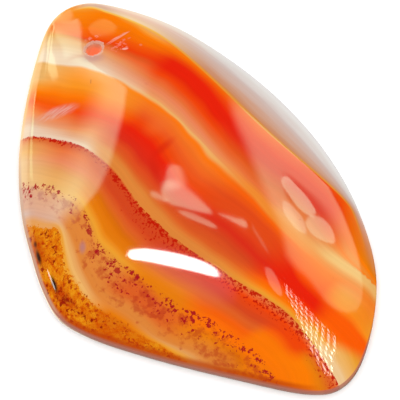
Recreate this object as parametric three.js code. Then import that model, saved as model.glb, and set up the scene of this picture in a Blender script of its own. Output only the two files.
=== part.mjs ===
// Banded agate pendant: one polished freeform stone with a flat back, a domed front and a drilled
// hole near its narrow end. Millimetres, +Z up. The flat back lies on Z = 0, the length runs
// along Y with the drilled end at +Y, and the origin is the middle of the outline's box.
import * as THREE from "three";

// Dome: it falls from its crown partly as an ellipse of these half sizes, partly with the outline.
const CROWN_HEIGHT = 7.8;
const CROWN_FALL = 5.6;
const CROWN_CENTRE = new THREE.Vector2(1.0, -1.0);
const DOME_HALF_WIDTH = 19.0;
const DOME_HALF_LENGTH = 27.0;
const ELLIPSE_SHARE = 0.35;

// Edge: rounded at the back, upright, then rounded into the flank that rises to the dome.
const EDGE_RADIUS = 0.6;
const EDGE_HEIGHT = 1.2;
const FLANK_WIDTH = 1.0;
const RIDGE_BLEND = 1.2;
const SHOULDER_WIDTH = 1.5;

// Ground bevel on the right long side: the flank widens here from the first outline point.
const BEVEL_WIDTH = 5.6;
const BEVEL_LAST_POINT = 7;
const BEVEL_SKEW = 1.95;

// Drilled hole, with its chipped mouths.
const HOLE_CENTRE = new THREE.Vector2(2.0, 21.9);
const HOLE_RADIUS = 1.08;
const MOUTH_RADIUS = 1.35;
const MOUTH_DEPTH = 0.25;

// Outline from the front, clockwise from the drilled end. Points stand closer at the corners.
const OUTLINE = [
  [2.9, 30.1], [5.4, 29.5], [7.6, 27.8], [12.6, 21.5], [16.2, 13.6], [18.5, 5.3],
  [19.4, -3.6], [18.5, -12.2], [15.6, -20.5], [10.7, -26.6], [6.4, -29.7], [3.5, -30.1],
  [0.8, -28.8], [-5.8, -22.4], [-13.0, -14.6], [-17.6, -8.7], [-19.3, -5.0], [-19.1, -1.1],
  [-18.1, 3.0], [-16.2, 8.8], [-12.3, 16.0], [-5.5, 24.4], [0.1, 29.4],
];

// Fineness of the faceted surface.
const STEPS_PER_POINT = 4;
const SIGHTS_PER_POINT = 30;
const DOME_RINGS = 13;
const ARC_STEPS = 3;
const BACK_RINGS = 2;

const outline = new THREE.CatmullRomCurve3(
  OUTLINE.map(([x, y]) => new THREE.Vector3(x, y, 0)),
  true,
  "centripetal",
);

// The outline as seen from under the crown: direction and distance, in order of direction.
const edgeSights = outline
  .getPoints(OUTLINE.length * SIGHTS_PER_POINT - 1)
  .map((point) => new THREE.Vector2(point.x, point.y).sub(CROWN_CENTRE))
  .map((sight) => ({ angle: sight.angle(), distance: sight.length() }))
  .sort((a, b) => a.angle - b.angle);

// Distance from under the crown to the outline in a direction.
function distanceToEdge(angle) {
  const turn = 2 * Math.PI;
  const after = Math.max(edgeSights.findIndex((sight) => sight.angle > angle), 0);
  const next = edgeSights[after];
  const last = edgeSights.at(after - 1);
  const gap = THREE.MathUtils.euclideanModulo(next.angle - last.angle, turn);
  const share = THREE.MathUtils.euclideanModulo(angle - last.angle, turn) / gap;
  return THREE.MathUtils.lerp(last.distance, next.distance, share);
}

// Height of the dome above the back at a point seen from the front.
function domeHeight(point) {
  const fromCrown = new THREE.Vector2(point.x, point.y).sub(CROWN_CENTRE);
  const inEllipse = Math.hypot(fromCrown.x / DOME_HALF_WIDTH, fromCrown.y / DOME_HALF_LENGTH);
  const inOutline = fromCrown.length() / distanceToEdge(fromCrown.angle());
  const fall = ELLIPSE_SHARE * inEllipse ** 2 + (1 - ELLIPSE_SHARE) * inOutline ** 3;
  return CROWN_HEIGHT - CROWN_FALL * fall;
}

// The lower of two heights, run into each other where they are closer than the blend.
function blendedLower(a, b) {
  const nearness = Math.max(RIDGE_BLEND - Math.abs(a - b), 0) / RIDGE_BLEND;
  return Math.min(a, b) - (nearness * nearness * RIDGE_BLEND) / 4;
}

// Width of the flank beside one place on the outline, counted in outline points.
function flankWidth(place) {
  const share = Math.min(place / BEVEL_LAST_POINT, 1);
  return Math.hypot(FLANK_WIDTH, BEVEL_WIDTH * Math.sin(Math.PI * share ** BEVEL_SKEW));
}

// What the rings need to know at one place of the outline: the edge point, the outward direction,
// the flank's width and slope, and the dome's last point before the shoulder.
function sectionAt(index) {
  const count = OUTLINE.length * STEPS_PER_POINT;
  const edge = outline.getPoint(index / count);
  const along = outline.getPoint((index + 0.01) / count).sub(outline.getPoint((index - 0.01) / count));
  const outward = new THREE.Vector3(-along.y, along.x, 0).normalize();
  const width = flankWidth(index / STEPS_PER_POINT);
  const ridge = edge.clone().addScaledVector(outward, -width);
  const ridgeHeight = domeHeight(ridge);
  const rise = ridgeHeight - EDGE_HEIGHT;
  const run = width - EDGE_RADIUS;
  const slope = Math.atan2(rise, run) - Math.asin(EDGE_RADIUS / Math.hypot(rise, run));
  const shoulder = edge.clone().addScaledVector(outward, -(width + SHOULDER_WIDTH));
  const fromHole = new THREE.Vector2(shoulder.x, shoulder.y).sub(HOLE_CENTRE);
  return { edge, outward, width, ridgeHeight, slope, reach: fromHole.length(), ray: fromHole.normalize() };
}

// A point at a distance from the hole's axis, towards the section, at a height.
function nearHole(section, radius, height) {
  const point = HOLE_CENTRE.clone().addScaledVector(section.ray, radius);
  return new THREE.Vector3(point.x, point.y, height(point));
}

// A point at an inset from the outline, at a height.
function nearEdge(section, inset, height) {
  const point = section.edge.clone().addScaledVector(section.outward, -inset);
  return point.setZ(height(point));
}

// Front surface between the upright edge and the shoulder: the flank under the dome.
function frontPoint(section, inset) {
  const flank = section.ridgeHeight - (section.width - inset) * Math.tan(section.slope);
  return nearEdge(section, inset, (point) => blendedLower(domeHeight(point), flank));
}

// A point on a rounded edge whose arc is centred at a height, at an angle above the horizontal.
function edgePoint(section, centreHeight, angle) {
  const inset = EDGE_RADIUS * (1 - Math.cos(angle));
  return nearEdge(section, inset, () => centreHeight + EDGE_RADIUS * Math.sin(angle));
}

// The rings of one section in order: up the hole, over the front, round the edge, across the back.
function ringsOf(section) {
  const rings = [
    nearHole(section, MOUTH_RADIUS, () => 0),
    nearHole(section, HOLE_RADIUS, () => MOUTH_DEPTH),
    nearHole(section, HOLE_RADIUS, (point) => domeHeight(point) - MOUTH_DEPTH),
  ];
  for (let ring = 0; ring <= DOME_RINGS; ring++) {
    const radius = THREE.MathUtils.lerp(MOUTH_RADIUS, section.reach, ring / DOME_RINGS);
    rings.push(nearHole(section, radius, domeHeight));
  }
  for (const inset of [0.5 * SHOULDER_WIDTH + section.width, section.width, 0.75 * section.width]) {
    rings.push(frontPoint(section, inset));
  }
  for (let step = 0; step <= ARC_STEPS; step++) {
    const angle = (Math.PI / 2 - section.slope) * (1 - step / ARC_STEPS);
    rings.push(edgePoint(section, EDGE_HEIGHT, angle));
  }
  for (let step = 0; step <= ARC_STEPS; step++) {
    rings.push(edgePoint(section, EDGE_RADIUS, (-Math.PI / 2) * (step / ARC_STEPS)));
  }
  for (let ring = 1; ring <= BACK_RINGS; ring++) {
    const share = ring / (BACK_RINGS + 1);
    const rimmed = edgePoint(section, EDGE_RADIUS, -Math.PI / 2);
    rings.push(rimmed.lerp(nearHole(section, MOUTH_RADIUS, () => 0), share));
  }
  return rings;
}

// Closes the sections round the outline and the rings round the stone's thickness.
function makeStone() {
  const count = OUTLINE.length * STEPS_PER_POINT;
  const sections = Array.from({ length: count }, (_, index) => ringsOf(sectionAt(index)));
  const ringCount = sections[0].length;
  const indices = [];
  for (let section = 0; section < count; section++) {
    for (let ring = 0; ring < ringCount; ring++) {
      const here = section * ringCount;
      const next = ((section + 1) % count) * ringCount;
      const outer = (ring + 1) % ringCount;
      indices.push(here + ring, next + ring, here + outer);
      indices.push(next + ring, next + outer, here + outer);
    }
  }
  const geometry = new THREE.BufferGeometry().setFromPoints(sections.flat());
  geometry.setIndex(indices);
  geometry.computeVertexNormals();
  return geometry;
}

const polishedAgate = new THREE.MeshStandardMaterial({ color: 0xe8641e, roughness: 0.08, metalness: 0 });
const stone = new THREE.Mesh(makeStone(), polishedAgate);
stone.name = "agate";

const pendant = new THREE.Group();
pendant.add(stone);

export default pendant;
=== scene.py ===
# %% [markdown]
# A banded agate pendant stone, lying on its flat back. The stone was sawn from a nodule, ground to a
# low dome with one wide bevel, drilled near its narrow end and polished until it mirrors the room.
# The CAD model gives its exact size, so the first cell loads it as the frame that everything fits.

import bpy
import numpy as np
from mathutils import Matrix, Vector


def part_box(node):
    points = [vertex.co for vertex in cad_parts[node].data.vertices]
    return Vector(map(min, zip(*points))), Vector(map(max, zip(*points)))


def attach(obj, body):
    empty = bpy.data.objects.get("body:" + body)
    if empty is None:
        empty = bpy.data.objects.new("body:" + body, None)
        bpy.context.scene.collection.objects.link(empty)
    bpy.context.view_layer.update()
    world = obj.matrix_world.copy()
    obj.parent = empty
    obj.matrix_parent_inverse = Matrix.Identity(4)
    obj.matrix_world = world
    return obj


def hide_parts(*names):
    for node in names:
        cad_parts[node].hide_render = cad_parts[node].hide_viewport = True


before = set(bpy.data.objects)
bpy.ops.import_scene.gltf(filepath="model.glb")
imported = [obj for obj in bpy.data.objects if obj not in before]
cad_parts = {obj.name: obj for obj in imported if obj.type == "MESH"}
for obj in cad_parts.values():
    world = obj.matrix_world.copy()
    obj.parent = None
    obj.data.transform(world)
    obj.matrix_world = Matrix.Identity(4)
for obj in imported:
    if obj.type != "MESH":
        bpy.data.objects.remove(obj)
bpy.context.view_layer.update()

MM = 0.001

# %% [markdown]
# The camera looks down at 65 degrees, turned 32 degrees, from a third of a metre away with a long
# lens. A long lens keeps the far end of the stone from shrinking. It is placed by working back from
# the point in the middle of the picture, which is easier to reason about than moving it by hand.

# %% Camera
ELEVATION = np.radians(65.0)
AZIMUTH = np.radians(-32.0)
CAMERA_DISTANCE_MM = 320.0
VIEW_WIDTH_MM = 48.0
AIM_MM = np.array([2.63, -1.65, 3.0])

level_look = np.array([-np.sin(AZIMUTH), np.cos(AZIMUTH), 0.0])
camera_look = level_look * np.cos(ELEVATION) - np.array([0.0, 0.0, np.sin(ELEVATION)])
camera_data = bpy.data.cameras.new("camera")
camera = bpy.data.objects.new("camera", camera_data)
camera.location = (AIM_MM - camera_look * CAMERA_DISTANCE_MM) * MM
camera.rotation_euler = (np.pi / 2 - ELEVATION, 0.0, AZIMUTH)
camera_data.lens = camera_data.sensor_width * CAMERA_DISTANCE_MM / VIEW_WIDTH_MM
camera_data.clip_start = 0.01
bpy.context.scene.collection.objects.link(camera)
bpy.context.scene.camera = camera
print("lens in mm", round(camera_data.lens, 1))

# %% [markdown]
# The outline is the same closed curve as in the CAD model: a smooth curve through a few drawn
# points. It could be traced with a curve object, but a formula gives the places and the outward
# directions as arrays, which the surface needs.

# %% Outline
OUTLINE_MM = np.array([
    [2.9, 30.1], [5.4, 29.5], [7.6, 27.8], [12.6, 21.5], [16.2, 13.6], [18.5, 5.3],
    [19.4, -3.6], [18.5, -12.2], [15.6, -20.5], [10.7, -26.6], [6.4, -29.7], [3.5, -30.1],
    [0.8, -28.8], [-5.8, -22.4], [-13.0, -14.6], [-17.6, -8.7], [-19.3, -5.0], [-19.1, -1.1],
    [-18.1, 3.0], [-16.2, 8.8], [-12.3, 16.0], [-5.5, 24.4], [0.1, 29.4],
])
STEPS_PER_POINT = 21


def cubic(u, start, leave, end, arrive):
    """Cubic from start to end, for u from 0 to 1, with the given slopes where it leaves and
    arrives."""
    return (
        (2 * u**3 - 3 * u**2 + 1) * start + (u**3 - 2 * u**2 + u) * leave
        + (3 * u**2 - 2 * u**3) * end + (u**3 - u**2) * arrive
    )


def smooth_loop(points, steps):
    """Smooth closed curve through the points: between two neighbours it is the cubic whose end
    slopes come from the points before and after, spaced by the root of their distance.
    Gives the places and the unit outward directions, the slope turned a quarter to the left."""
    before, start, end, after = (np.roll(points, shift, 0)[:, None, :] for shift in (1, 0, -1, -2))

    def root_gap(a, b):
        return np.sqrt(np.linalg.norm(b - a, axis=-1, keepdims=True))

    gap_before, gap, gap_after = root_gap(before, start), root_gap(start, end), root_gap(end, after)
    leave = (start - before) / gap_before - (end - before) / (gap_before + gap) + (end - start) / gap
    arrive = (end - start) / gap - (after - start) / (gap + gap_after) + (after - end) / gap_after
    leave, arrive = leave * gap, arrive * gap
    u = (np.arange(steps) / steps)[None, :, None]
    place = cubic(u, start, leave, end, arrive)
    slope = (
        (6 * u**2 - 6 * u) * (start - end) + (3 * u**2 - 4 * u + 1) * leave + (3 * u**2 - 2 * u) * arrive
    )
    outward = np.stack([-slope[..., 1], slope[..., 0]], -1)
    outward /= np.linalg.norm(outward, axis=-1, keepdims=True)
    return place.reshape(-1, 2), outward.reshape(-1, 2)


edge, outward = smooth_loop(OUTLINE_MM, STEPS_PER_POINT)
place_on_outline = np.arange(len(edge)) / STEPS_PER_POINT
print("outline sections", len(edge))

# %% [markdown]
# The front is a low dome. It falls from its crown partly as an ellipse and partly in step with the
# outline, the way a lapidary rocks the stone on the wheel so that the dome follows its edge.

# %% Dome
CROWN_HEIGHT = 7.8
CROWN_FALL = 5.6
CROWN_CENTRE = np.array([1.0, -1.0])
DOME_HALF_SIZE = np.array([19.0, 27.0])
ELLIPSE_SHARE = 0.35

from_crown = edge - CROWN_CENTRE
edge_bearing = np.arctan2(from_crown[:, 1], from_crown[:, 0])
in_turn = np.argsort(edge_bearing)
edge_bearing = edge_bearing[in_turn]
edge_distance = np.hypot(*from_crown.T)[in_turn]


def dome_height(plan):
    """Crown height less the fall: a share grows with the square of the distance from the crown
    measured in half sizes of the ellipse, the rest with the cube of the distance measured as a
    part of the way to the outline."""
    sight = plan - CROWN_CENTRE
    bearing = np.arctan2(sight[..., 1], sight[..., 0])
    in_outline = np.hypot(sight[..., 0], sight[..., 1]) / np.interp(
        bearing, edge_bearing, edge_distance, period=2 * np.pi
    )
    in_ellipse = ((sight / DOME_HALF_SIZE) ** 2).sum(-1)
    return CROWN_HEIGHT - CROWN_FALL * (ELLIPSE_SHARE * in_ellipse + (1 - ELLIPSE_SHARE) * in_outline**3)


print("dome height at the middle in mm", round(float(dome_height(np.zeros(2))), 2))

# %% [markdown]
# A flank joins the dome to the upright edge. It is narrow nearly all round and swells to the wide
# bevel on one long side. Polishing rounds the ridge where it meets the dome, so the lower of the two
# heights is blended rather than cut with a hard minimum. The bevel's ridge is kept crisp, so it
# stands up to 0.3 mm above the rounder ridge of the CAD model. Where the dome comes down low over
# the edge the blend is smaller, so it ends before the edge's arc begins.

# %% Flank and bevel
EDGE_RADIUS = 0.6
EDGE_HEIGHT = 1.2
FLANK_WIDTH = 1.0
ROUND_BLEND = 1.2
CRISP_BLEND = 0.12
SHOULDER_WIDTH = 1.5
BEVEL_WIDTH = 5.6
BEVEL_LAST_POINT = 7.1
BEVEL_SKEW = 2.0


def smooth_step(value, start, end):
    """Rises from 0 at start to 1 at end, level at both."""
    share = np.clip((value - start) / (end - start), 0.0, 1.0)
    return share * share * (3 - 2 * share)


def outline_stretch(start, full, fading, end):
    """1 along a stretch of the outline, counted in its points: a rise from start to full, times a
    fall from fading to end."""
    return smooth_step(place_on_outline, start, full) * (1 - smooth_step(place_on_outline, fading, end))


crispness = outline_stretch(0.3, 1.5, 9.0, 10.5)
ridge_blend = ROUND_BLEND * (1 - crispness) + CRISP_BLEND * crispness
bevel_share = np.clip(place_on_outline / BEVEL_LAST_POINT, 0.0, 1.0)
flank_width = np.hypot(FLANK_WIDTH, BEVEL_WIDTH * np.sin(np.pi * bevel_share**BEVEL_SKEW))
ridge_height = dome_height(edge - outward * flank_width[:, None])
rise, run = ridge_height - EDGE_HEIGHT, flank_width - EDGE_RADIUS
flank_slope = np.arctan2(rise, run) - np.arcsin(EDGE_RADIUS / np.hypot(rise, run))
top_angle = np.pi / 2 - flank_slope
arc_top_inset = EDGE_RADIUS * (1 - np.cos(top_angle))
arc_top_height = EDGE_HEIGHT + EDGE_RADIUS * np.sin(top_angle)
dome_above_arc = dome_height(edge - outward * arc_top_inset[:, None]) - arc_top_height
ridge_blend = np.clip(dome_above_arc, CRISP_BLEND, ridge_blend)


def blended_lower(a, b):
    """The lower of a and b, less a quarter of the blend where they are equal, fading to nothing
    where they differ by the blend."""
    nearness = np.maximum(ridge_blend - np.abs(a - b), 0.0) / ridge_blend
    return np.minimum(a, b) - nearness**2 * ridge_blend / 4


print("widest bevel in mm", round(float(flank_width.max()), 2))
print("least dome above the arc in mm", round(float(dome_above_arc.min()), 2))

# %% [markdown]
# Such a hole is drilled with a diamond bit, which chips its mouth. The mouth here is a short cone
# whose rim wavers a little from section to section, so it doesn't look turned. The hole is a little
# narrower than the CAD model's, and shorter along the stone, as if the bit had leaned.

# %% Rings of the surface
HOLE_CENTRE = np.array([2.0, 21.9])
HOLE_RADIUS = 1.02
MOUTH_RADIUS = 1.32
HOLE_SQUASH = 0.14
MOUTH_DEPTH = 0.25
CHIP_DEPTH = 0.1
BORE_MIDDLE = 2.9
FRONT_RINGS = 126
SHOULDER_RINGS = 10
FLANK_RINGS = 16
ARC_STEPS = 7
BACK_RINGS = 5
RIDGE_CROWDING = 1.5

shoulder = edge - outward * (flank_width + SHOULDER_WIDTH)[:, None]
reach = np.hypot(*(shoulder - HOLE_CENTRE).T)
ray = (shoulder - HOLE_CENTRE) / reach[:, None]
hole_bearing = np.arctan2(ray[:, 1], ray[:, 0])
chips = CHIP_DEPTH * np.sin(np.outer([5, 11, 17], hole_bearing) + 1.0).mean(0)
squash = 1 - HOLE_SQUASH * np.sin(hole_bearing) ** 2


def near_hole(radius, height):
    """One ring at a distance from the hole's axis, each point on its section's ray."""
    plan = HOLE_CENTRE + ray * np.broadcast_to(radius, reach.shape)[:, None]
    z = height(plan) if callable(height) else np.full(len(plan), height)
    return np.column_stack([plan, z])


def near_edge(inset, height):
    """One ring at an inset from the outline, square to it."""
    plan = edge - outward * np.broadcast_to(inset, flank_width.shape)[:, None]
    z = height(plan) if callable(height) else np.broadcast_to(height, flank_width.shape)
    return np.column_stack([plan, z])


def front_ring(inset):
    """One ring of the front: the dome cut by the flank, a straight slope down from the ridge."""
    flank = ridge_height - (flank_width - inset) * np.tan(flank_slope)
    return near_edge(inset, lambda plan: blended_lower(dome_height(plan), flank))


def edge_ring(centre_height, angle):
    """One ring of a rounded edge: the arc's centre, plus its radius at an angle above level."""
    inset = EDGE_RADIUS * (1 - np.cos(angle))
    return near_edge(inset, centre_height + EDGE_RADIUS * np.sin(angle) * np.ones(len(edge)))


print("from the hole to the shoulder in mm", round(float(reach.min()), 1), "to", round(float(reach.max()), 1))

# %% [markdown]
# The rings run up the hole, over the front, round the edge and across the back, and close on
# themselves like a bent tube. That makes one closed skin with no seams, which a join of separate
# front and back meshes would not.

# %% Stack the rings
mouth, bore_radius = (MOUTH_RADIUS + chips) * squash, HOLE_RADIUS * squash
rings = [
    near_hole(mouth, 0.0),
    near_hole(bore_radius, MOUTH_DEPTH),
    near_hole(bore_radius, BORE_MIDDLE),
    near_hole(bore_radius, lambda plan: dome_height(plan) - MOUTH_DEPTH - CHIP_DEPTH - chips),
]
first_front = len(rings)
for share in np.linspace(0.0, 1.0, FRONT_RINGS):
    rings.append(near_hole(mouth + (reach - mouth) * share, dome_height))
first_flank = len(rings)
for share in np.linspace(0.0, 1.0, SHOULDER_RINGS + 1)[1:]:
    rings.append(front_ring(flank_width + SHOULDER_WIDTH * (1 - share) ** RIDGE_CROWDING))
for share in np.linspace(0.0, 1.0, FLANK_RINGS + 1)[1:-1] ** RIDGE_CROWDING:
    rings.append(front_ring(flank_width * (1 - share) + arc_top_inset * share))
first_arc = len(rings)
for share in np.linspace(1.0, 0.0, ARC_STEPS):
    rings.append(edge_ring(EDGE_HEIGHT, top_angle * share))
for share in np.linspace(0.0, 1.0, ARC_STEPS):
    rings.append(edge_ring(EDGE_RADIUS, -0.5 * np.pi * share))
first_back = len(rings)
for share in np.linspace(0.0, 1.0, BACK_RINGS + 2)[1:-1]:
    rings.append(rings[first_back - 1] * (1 - share) + rings[0] * share)
surface = np.stack(rings)
print("rings", surface.shape[0], "triangles", 2 * surface.shape[0] * surface.shape[1])

# %% [markdown]
# The finer curve bulges a few thousandths of a millimetre past the CAD facets, so the surface is
# fitted to the CAD box once, as a whole. A mesh could be grown with modifiers, but quads made from
# the grid of rings and sections keep the place of every point known, which the growth layers need.

# %% Build the mesh
SHARP_DEGREES = 32.0


def grid_quads(rows, columns, closed):
    """Numbers of the four points round each cell of a grid, counted along its rows. A closed grid
    joins its last row and column to its first."""
    left_out = 0 if closed else 1
    row, column = np.mgrid[0:rows - left_out, 0:columns - left_out]
    below, right = (row + 1) % rows, (column + 1) % columns
    pairs = ((row, column), (row, right), (below, right), (below, column))
    return np.stack([at_row * columns + at_column for at_row, at_column in pairs], -1).reshape(-1, 4)


box_low, box_high = (np.array(corner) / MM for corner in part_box("agate"))
own_low, own_high = surface.min((0, 1)), surface.max((0, 1))
fitted = box_low + (surface - own_low) * (box_high - box_low) / (own_high - own_low)

ring_count, section_count = surface.shape[:2]
corners = grid_quads(ring_count, section_count, closed=True)
stone_mesh = bpy.data.meshes.new("banded_agate")
stone_mesh.from_pydata((fitted.reshape(-1, 3) * MM).tolist(), [], corners.tolist())
stone_mesh.shade_smooth()
stone_mesh.set_sharp_from_angle(angle=np.radians(SHARP_DEGREES))
stone = bpy.data.objects.new("banded_agate", stone_mesh)
bpy.context.scene.collection.objects.link(stone)
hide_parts("agate")
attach(stone, "root")
print("bulge past the CAD box in mm", np.abs([own_low - box_low, own_high - box_high]).max().round(3))
print("mesh box error in mm", np.abs(fitted.max((0, 1)) - box_high).max().round(4))

# %% [markdown]
# Agate grows in layers on the wall of a cavity, so its bands are the edges of those layers seen from
# the cut. Each layer's edge is drawn on the face as a few points in millimetres, and read off as a
# distance from one growth centre left of the stone, because every layer bends round that centre.

# %% Growth layers
GROWTH_CENTRE = np.array([-34.5, -13.0])
LAYERS_MM = [
    ("ochre edge", [(-17, 8.5), (-15, 5), (-14, 3.5), (-15.5, -0.5), (-16, -3.5), (-14.5, -9.5),
        (-13, -12.5), (-10, -17.5), (-9, -20.5)]),
    ("mauve", [(-16.5, 10), (-13.5, 6), (-13, 2.5), (-14, -4), (-14, -7), (-12.5, -10.5), (-11, -14.5),
        (-7, -20.5)]),
    ("lower specks", [(-15, 12), (-12, 7.5), (-11, 4.5), (-11.5, -1.5), (-11, -4), (-9, -9.5),
        (-8, -13), (-4.5, -18.5), (-2.5, -24.5)]),
    ("amber", [(-13.5, 15), (-10, 10), (-8.5, 6.5), (-8.5, 0), (-8, -5.5), (-4.5, -13), (-2, -18),
        (0, -21.5), (0.5, -27)]),
    ("upper specks", [(-12, 18), (-9, 14.7), (-6.4, 9.8), (-5.2, 4.8), (-5.3, -1), (-4.3, -5.2),
        (-0.8, -13.8), (2.6, -20.6), (3.5, -25), (3.8, -30)]),
    ("cream", [(-10.5, 19.5), (-8, 15.5), (-4, 9.5), (-3, 2.5), (-2, -5), (1, -12.5), (4, -19.5),
        (5, -25), (5, -30)]),
    ("red core", [(-8.5, 22.5), (-4.5, 18), (-0.5, 12), (1, 6.5), (1.5, -0.5), (5, -9.5), (6, -12.5),
        (6, -19), (9, -27)]),
    ("pale low", [(-5.7, 26.5), (-2.6, 22.2), (2.5, 14), (5, 4.2), (6.6, -5.4), (7.7, -12.5),
        (8.8, -15.8), (11.5, -21.4), (12.8, -24)]),
    ("pale high", [(-4, 28.5), (-0.5, 25.5), (3, 18.5), (6, 10.5), (7, 0.5), (9, -9), (11.5, -16.5),
        (14.5, -22)]),
    ("outer red", [(-1.5, 29.5), (1.5, 24.5), (7, 18), (10, 10.5), (10, 1), (12, -6), (13, -10),
        (13, -18.5), (14, -21.5)]),
    ("ridge", [(1.4, 30.3), (5.9, 27), (9.5, 18.5), (12.8, 6.3), (13.7, 1.6), (15, -3.6), (17.6, -10.6),
        (17.2, -13), (15.3, -19.6), (15, -21.5)]),
]
LEAST_LAYER_MM = 0.05


def bearing_and_distance(plan):
    """Direction from the growth centre in degrees, and distance from it."""
    sight = np.asarray(plan, float) - GROWTH_CENTRE
    return np.degrees(np.arctan2(sight[..., 1], sight[..., 0])), np.hypot(sight[..., 0], sight[..., 1])


def smooth_through(bearings, distances, at):
    """Cubic through the points in order of bearing, with slopes from the neighbours. It runs on
    level past its ends."""
    order = np.argsort(bearings)
    known, values = bearings[order], distances[order]
    slopes = np.gradient(values, known)
    left = np.clip(np.searchsorted(known, at) - 1, 0, len(known) - 2)
    gap = known[left + 1] - known[left]
    u = np.clip((at - known[left]) / gap, 0.0, 1.0)
    right = left + 1
    return cubic(u, values[left], gap * slopes[left], values[right], gap * slopes[right])


def growth_layer(plan):
    """Number of the layer at each point, whole on a drawn edge and rising evenly with the distance
    from one edge to the next, along with the bearing from the growth centre."""
    bearing, distance = bearing_and_distance(plan)
    edges = np.stack([smooth_through(*bearing_and_distance(points), bearing) for _, points in LAYERS_MM], -1)
    edges = np.maximum.accumulate(edges + LEAST_LAYER_MM * np.arange(len(LAYERS_MM)), -1)
    below = np.clip((edges < distance[..., None]).sum(-1) - 1, 0, len(LAYERS_MM) - 2)[..., None]
    low = np.take_along_axis(edges, below, -1)
    high = np.take_along_axis(edges, below + 1, -1)
    return (below + (distance[..., None] - low) / (high - low))[..., 0], bearing


layer, bearing = growth_layer(surface[..., :2])
print("layers on the stone from", round(float(layer.min()), 1), "to", round(float(layer.max()), 1))

# %% [markdown]
# The material reads what it needs about a place on the stone as attributes: the layer, the bearing
# along it, how far in from the edge the point lies, in millimetres and as a part of the flank, and
# which parts of the edge and of the hole it belongs to. Textures alone couldn't know these. The
# layers waver a little from the drawn curves, as grown ones do.

# %% Attributes
FAR_INSIDE_MM = 100.0


def add_attribute(name, values):
    """Stores one number for each vertex under a name that the material can read."""
    stored = stone_mesh.attributes.new(name, "FLOAT", "POINT")
    values = np.broadcast_to(values, surface.shape[:2])
    stored.data.foreach_set("value", np.ascontiguousarray(values, dtype=np.float32).ravel())


def waver(plan, wave_mm):
    """Mean of five sine waves, about wave_mm long, that cross the plan in different directions."""
    headings = np.radians([8.0, 61.0, 97.0, 139.0, 170.0])
    lengths = wave_mm * np.array([1.0, 0.83, 1.27, 0.71, 1.11])
    runs = (plan[..., :1] * np.cos(headings) + plan[..., 1:2] * np.sin(headings)) / lengths
    return np.sin(2 * np.pi * runs + np.arange(5)).mean(-1)


plan = surface[..., :2]
inset = ((edge[None] - plan) * outward[None]).sum(-1)
inset[:first_flank] = FAR_INSIDE_MM
inset[first_back:] = 0.0
girdle = np.zeros(ring_count)
girdle[first_arc + 1:first_back] = 1.0
bore = np.zeros(ring_count)
bore[:first_front] = 1.0
mouth_rim = np.zeros(ring_count)
mouth_rim[first_front - 1:first_front + 1] = 0.6, 1.0
along_mm = np.concatenate([[0.0], np.cumsum(np.hypot(*np.diff(edge, axis=0).T))])

for name, values in (
    ("layer", layer + 0.14 * waver(plan, 13.0) + 0.04 * waver(plan, 3.7)),
    ("bearing", bearing + 4.0 * waver(plan, 11.0)),
    ("in_flank", np.clip(inset / flank_width, 0.0, 3.0)),
    ("past_ridge", np.clip(inset - flank_width, -3.0, 3.0)),
    ("inset", np.clip(inset, 0.0, 10.0)),
    ("bevel", outline_stretch(0.0, 1.4, 6.75, 7.9)),
    ("right_end", outline_stretch(6.75, 7.9, 7.6, 8.1)),
    ("lower_edge", outline_stretch(11.5, 12.5, 15.5, 17.0)),
    ("left_edge", outline_stretch(15.5, 16.5, 19.5, 20.5)),
    ("drilled_end", outline_stretch(19.5, 20.5, 22.5, 22.9)),
    ("along", along_mm),
    ("girdle", girdle[:, None] * outline_stretch(8.6, 9.4, 18.0, 19.0)),
    ("bore", bore[:, None]),
    ("mouth_rim", mouth_rim[:, None]),
):
    add_attribute(name, values)
print("attributes", [attribute.name for attribute in stone_mesh.attributes])

# %% [markdown]
# Carnelian agate is quartz in fibres too fine to see, coloured by iron oxide: milky where there is
# none, honey and orange where it is thin and deep red where it is dense. The palette names those
# stages, as sRGB hex values turned to linear light by one function. The colours are written as they
# look, and the light is stronger than it takes to show them so, to burn the sheet under the stone
# out to white. The function therefore divides them by the light.

# %% Palette
LIGHT_LEVEL = 1.3


def linear(hex_colour):
    """sRGB hex to linear light: each channel over 255, then the sRGB curve undone, then divided
    by the light level."""
    channels = np.array([int(hex_colour[i:i + 2], 16) for i in (1, 3, 5)]) / 255
    toe, curve = channels / 12.92, ((channels + 0.055) / 1.055) ** 2.4
    return (*np.where(channels <= 0.04045, toe, curve) / LIGHT_LEVEL, 1.0)


PALETTE = {
    "milk": "#EBCFB4", "bone": "#F5DCBC", "cream": "#EFC690", "straw": "#EDB468", "wheat": "#E5A05A",
    "sand": "#E8AC54", "honey": "#EDA030", "gold": "#FA9420", "mango": "#FCA238", "amber": "#E77D0E",
    "ochre": "#DC6E08", "caramel": "#DE8438", "apricot": "#F08A30", "blaze": "#FE7E04",
    "orange": "#FA7606", "tangerine": "#F6600A", "sunset": "#FC5C06", "flame": "#EF460A",
    "scarlet": "#F43204", "red": "#E8220A", "crimson": "#DA2C18", "brick": "#D3461E",
    "terracotta": "#DC5F24", "coral": "#E8723A", "peach": "#EA9860", "melon": "#FC9850",
    "salmon": "#E88458", "rose": "#DCAA90", "blush": "#E4AA84", "pearl": "#E8E2DC", "shell": "#D6C0B8",
    "tan": "#D2906A", "vermilion": "#E24A18", "paprika": "#EA5A20", "mandarin": "#F47422",
}
print("palette", len(PALETTE), "colours")
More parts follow.
